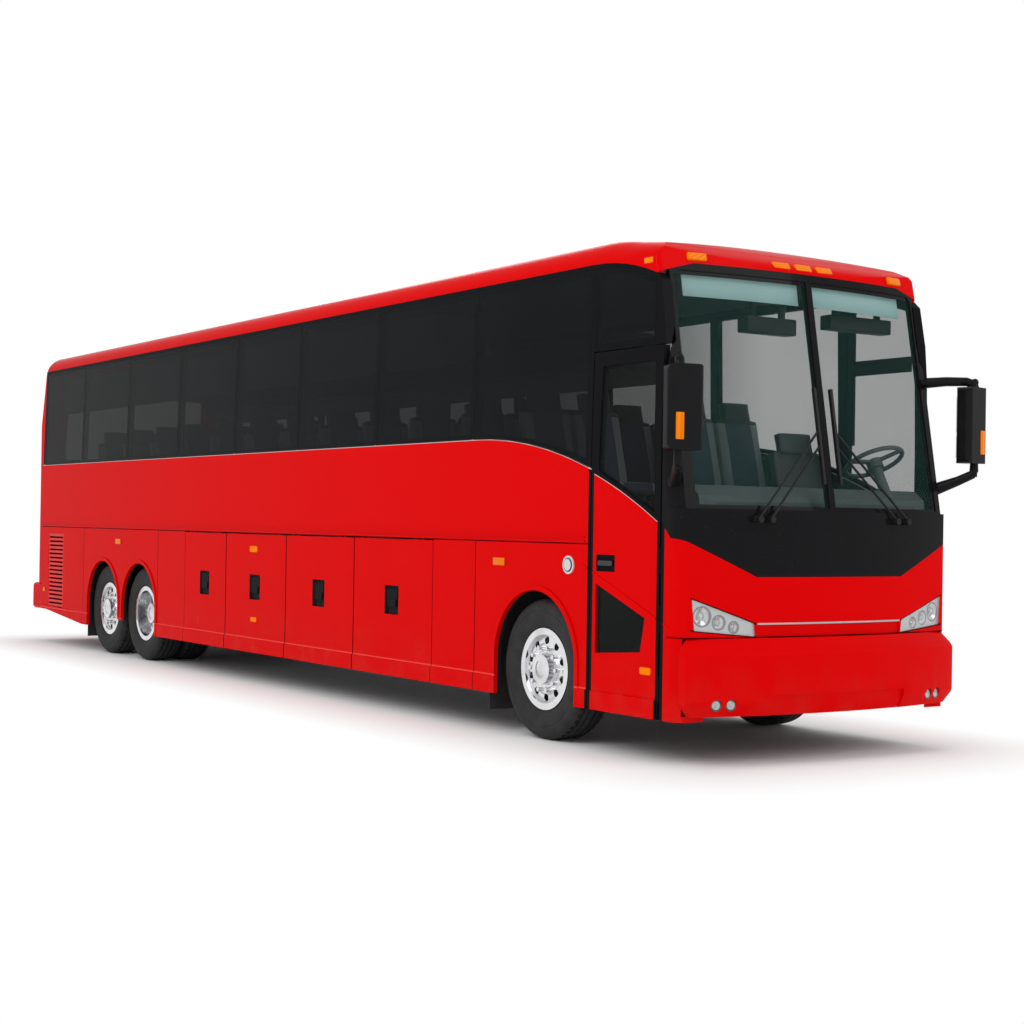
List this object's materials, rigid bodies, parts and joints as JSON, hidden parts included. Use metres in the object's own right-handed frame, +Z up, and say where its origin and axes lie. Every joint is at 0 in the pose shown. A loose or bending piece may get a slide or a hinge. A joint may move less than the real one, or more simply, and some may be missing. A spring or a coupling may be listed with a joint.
{
  "type": "touring coach",
  "caption": "Long three-axle touring coach with a raked wrap-round windscreen, dark flush side windows, an entry door, luggage doors below the floor, mirror arms and steered front wheels.",
  "frame": {"origin": "centre of the coach's footprint on the ground", "axes": "+X forward, +Y to the coach's left, +Z up"},
  "size_m": [13.85, 3.0706, 3.75],
  "materials": {
    "red_paint": "gloss",
    "black_gloss": "gloss",
    "dark_plastic": "matte",
    "dark_steel": "satin",
    "cast_iron": "rough",
    "bay_lining": "satin",
    "floor": "matte",
    "screen_glass": "clear",
    "dark_glass": "tinted",
    "clear_lamp": "clear",
    "red_lamp": "gloss",
    "amber_lamp": "gloss",
    "rubber": "matte",
    "tyre": "matte",
    "alloy": "polished",
    "seat_fabric": "matte",
    "rack_plastic": "matte",
    "visor_fabric": "matte"
  },
  "bodies": {
    "coach": {"underframe": "dark_steel", "luggage_bay": "bay_lining", "deck": "floor", "cab_floor": "floor", "wheel_housings": "dark_plastic", "engine": "cast_iron", "side_right": "red_paint", "side_left": "red_paint", "roof": "red_paint", "roof_cap": "red_paint", "rear_cap": "red_paint", "front_fascia": "red_paint", "front_mask": "black_gloss", "windscreen": "screen_glass", "glass_right": "dark_glass", "glass_left": "dark_glass", "rear_glass": "dark_glass", "front_bumper": "red_paint", "rear_bumper": "red_paint", "headlamps": "clear_lamp", "fog_lamps": "clear_lamp", "tail_lamps": "red_lamp", "marker_lamps": "amber_lamp", "mirrors": "black_gloss", "wipers": "dark_plastic", "mud_flaps": "rubber", "front_axle": "dark_steel", "rear_axles": "dark_steel", "seats": "seat_fabric", "driver_seat": "seat_fabric", "dashboard": "dark_plastic", "racks": "rack_plastic", "visors": "visor_fabric", "side_grilles": "red_paint"},
    "knuckle_left": {"knuckle_left": "dark_steel"},
    "knuckle_right": {"knuckle_right": "dark_steel"},
    "entry_door": {"entry_door": "red_paint", "entry_glass": "dark_glass"},
    "engine_door": {"engine_door": "red_paint"},
    "steering_wheel": {"steering_wheel": "dark_plastic"},
    "wheel_front_left": {"tyre_front_left": "tyre", "rim_front_left": "alloy"},
    "wheel_front_right": {"tyre_front_right": "tyre", "rim_front_right": "alloy"},
    "wheel_drive_left": {"tyre_drive_left": "tyre", "rim_drive_left": "alloy"},
    "wheel_drive_right": {"tyre_drive_right": "tyre", "rim_drive_right": "alloy"},
    "wheel_tag_left": {"tyre_tag_left": "tyre", "rim_tag_left": "alloy"},
    "wheel_tag_right": {"tyre_tag_right": "tyre", "rim_tag_right": "alloy"},
    "luggage_right_1": {"luggage_right_1": "red_paint"},
    "luggage_right_2": {"luggage_right_2": "red_paint"},
    "luggage_right_3": {"luggage_right_3": "red_paint"},
    "luggage_right_4": {"luggage_right_4": "red_paint"},
    "luggage_left_1": {"luggage_left_1": "red_paint"},
    "luggage_left_2": {"luggage_left_2": "red_paint"},
    "luggage_left_3": {"luggage_left_3": "red_paint"},
    "luggage_left_4": {"luggage_left_4": "red_paint"}
  },
  "joints": [
    {"name": "steer_left", "type": "hinge", "parent": "coach", "child": "knuckle_left", "pos_m": [4.925, 0.868, 0.538], "axis": [0, 0, 1], "range_deg": [-40, 40]},
    {"name": "steer_right", "type": "hinge", "parent": "coach", "child": "knuckle_right", "pos_m": [4.925, -0.868, 0.538], "axis": [0, 0, 1], "range_deg": [-40, 40]},
    {"name": "spin_front_left", "type": "hinge", "parent": "knuckle_left", "child": "wheel_front_left", "pos_m": [4.925, 1.068, 0.538], "axis": [0, 1, 0], "continuous": true},
    {"name": "spin_drive_left", "type": "hinge", "parent": "coach", "child": "wheel_drive_left", "pos_m": [-3.165, 1.068, 0.538], "axis": [0, 1, 0], "continuous": true},
    {"name": "spin_tag_left", "type": "hinge", "parent": "coach", "child": "wheel_tag_left", "pos_m": [-4.325, 1.068, 0.538], "axis": [0, 1, 0], "continuous": true},
    {"name": "spin_front_right", "type": "hinge", "parent": "knuckle_right", "child": "wheel_front_right", "pos_m": [4.925, -1.068, 0.538], "axis": [0, 1, 0], "continuous": true},
    {"name": "spin_drive_right", "type": "hinge", "parent": "coach", "child": "wheel_drive_right", "pos_m": [-3.165, -1.068, 0.538], "axis": [0, 1, 0], "continuous": true},
    {"name": "spin_tag_right", "type": "hinge", "parent": "coach", "child": "wheel_tag_right", "pos_m": [-4.325, -1.068, 0.538], "axis": [0, 1, 0], "continuous": true},
    {"name": "entry_swing", "type": "hinge", "parent": "coach", "child": "entry_door", "pos_m": [6.445, -1.295, 1.6], "axis": [0, 0, 1], "range_deg": [0, 90]},
    {"name": "luggage_lift_right_1", "type": "hinge", "parent": "coach", "child": "luggage_right_1", "pos_m": [-1.285, -1.295, 1.499], "axis": [-1, 0, 0], "range_deg": [0, 88]},
    {"name": "luggage_lift_right_2", "type": "hinge", "parent": "coach", "child": "luggage_right_2", "pos_m": [-0.045, -1.295, 1.499], "axis": [-1, 0, 0], "range_deg": [0, 88]},
    {"name": "luggage_lift_right_3", "type": "hinge", "parent": "coach", "child": "luggage_right_3", "pos_m": [1.345, -1.295, 1.499], "axis": [-1, 0, 0], "range_deg": [0, 88]},
    {"name": "luggage_lift_right_4", "type": "hinge", "parent": "coach", "child": "luggage_right_4", "pos_m": [2.725, -1.295, 1.499], "axis": [-1, 0, 0], "range_deg": [0, 88]},
    {"name": "luggage_lift_left_1", "type": "hinge", "parent": "coach", "child": "luggage_left_1", "pos_m": [-1.285, 1.295, 1.499], "axis": [1, 0, 0], "range_deg": [0, 88]},
    {"name": "luggage_lift_left_2", "type": "hinge", "parent": "coach", "child": "luggage_left_2", "pos_m": [-0.045, 1.295, 1.499], "axis": [1, 0, 0], "range_deg": [0, 88]},
    {"name": "luggage_lift_left_3", "type": "hinge", "parent": "coach", "child": "luggage_left_3", "pos_m": [1.345, 1.295, 1.499], "axis": [1, 0, 0], "range_deg": [0, 88]},
    {"name": "luggage_lift_left_4", "type": "hinge", "parent": "coach", "child": "luggage_left_4", "pos_m": [2.725, 1.295, 1.499], "axis": [1, 0, 0], "range_deg": [0, 88]},
    {"name": "engine_lift", "type": "hinge", "parent": "coach", "child": "engine_door", "pos_m": [-6.825, 0, 1.892], "axis": [0, 1, 0], "range_deg": [0, 75]},
    {"name": "steering_turn", "type": "hinge", "parent": "coach", "child": "steering_wheel", "pos_m": [6.4, 0.78, 2.15], "axis": [-0.4695, 0, 0.8829], "range_deg": [-640, 640]}
  ],
  "couplings": [
    {"joint": "steer_right", "follows": "steer_left", "ratio": 1},
    {"joint": "steering_turn", "follows": "steer_left", "ratio": 16}
  ]
}
